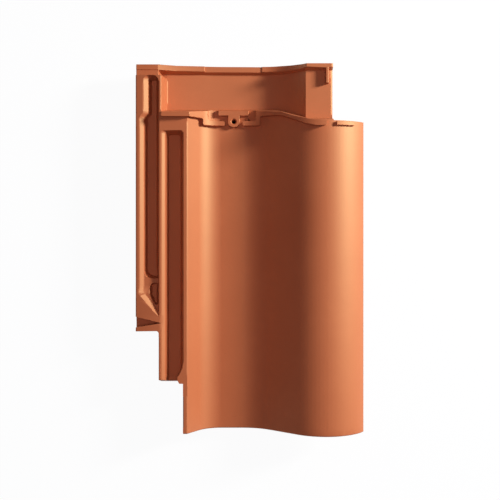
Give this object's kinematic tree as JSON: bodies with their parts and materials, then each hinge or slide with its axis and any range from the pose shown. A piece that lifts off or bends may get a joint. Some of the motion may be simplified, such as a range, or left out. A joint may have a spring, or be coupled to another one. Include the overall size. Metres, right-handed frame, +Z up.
{
  "type": "interlocking clay roof tile",
  "caption": "Fired clay pantile with a broad roll, a flat valley, side-lock channels, a head lock with rim and weir, a fixing hole and hanging nibs, lying flat.",
  "frame": {"origin": "middle of the tile's length and width, on the floor that it lies on", "axes": "+X to the roll side, +Y to the head (the upper end on the roof), +Z up from the floor, the weathered face up"},
  "size_m": [0.28, 0.4512, 0.0745],
  "materials": {
    "fired_clay": "matt, unglazed natural red"
  },
  "bodies": {
    "root": {"roof_tile": "fired_clay"}
  },
  "joints": []
}
